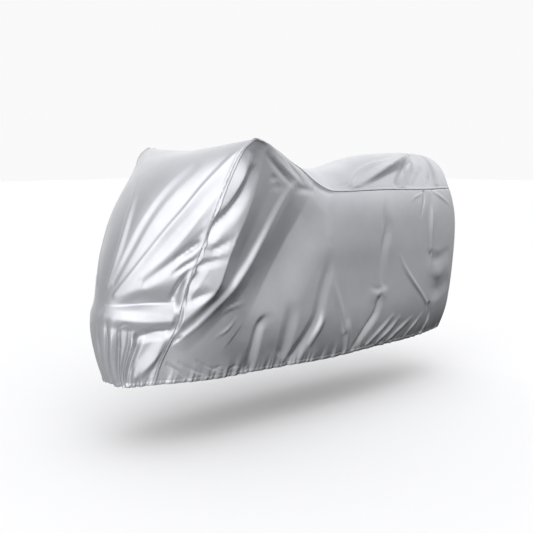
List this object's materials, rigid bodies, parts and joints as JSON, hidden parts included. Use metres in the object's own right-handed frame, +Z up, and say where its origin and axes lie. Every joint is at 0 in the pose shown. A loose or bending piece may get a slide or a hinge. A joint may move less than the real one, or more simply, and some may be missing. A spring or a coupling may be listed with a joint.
{
  "type": "motorcycle cover",
  "caption": "Fitted motorcycle cover of silver coated cloth, draped from handlebar to tail, seamed along the nose and seat, gathered at the hem.",
  "frame": {"origin": "under the top of the cover, on its middle line over the tank, where it lies on what it covers", "axes": "+X towards the tail and along the cover's length, +Y towards the right side, +Z up"},
  "size_m": [2.1357, 0.6868, 0.9594],
  "materials": {
    "silver_cloth": "thin woven polyester with a silver coating, satin with a soft metallic sheen, creased and slack"
  },
  "bodies": {
    "root": {"centre_panel": "silver_cloth", "left_side_panel": "silver_cloth", "right_side_panel": "silver_cloth"}
  },
  "joints": []
}
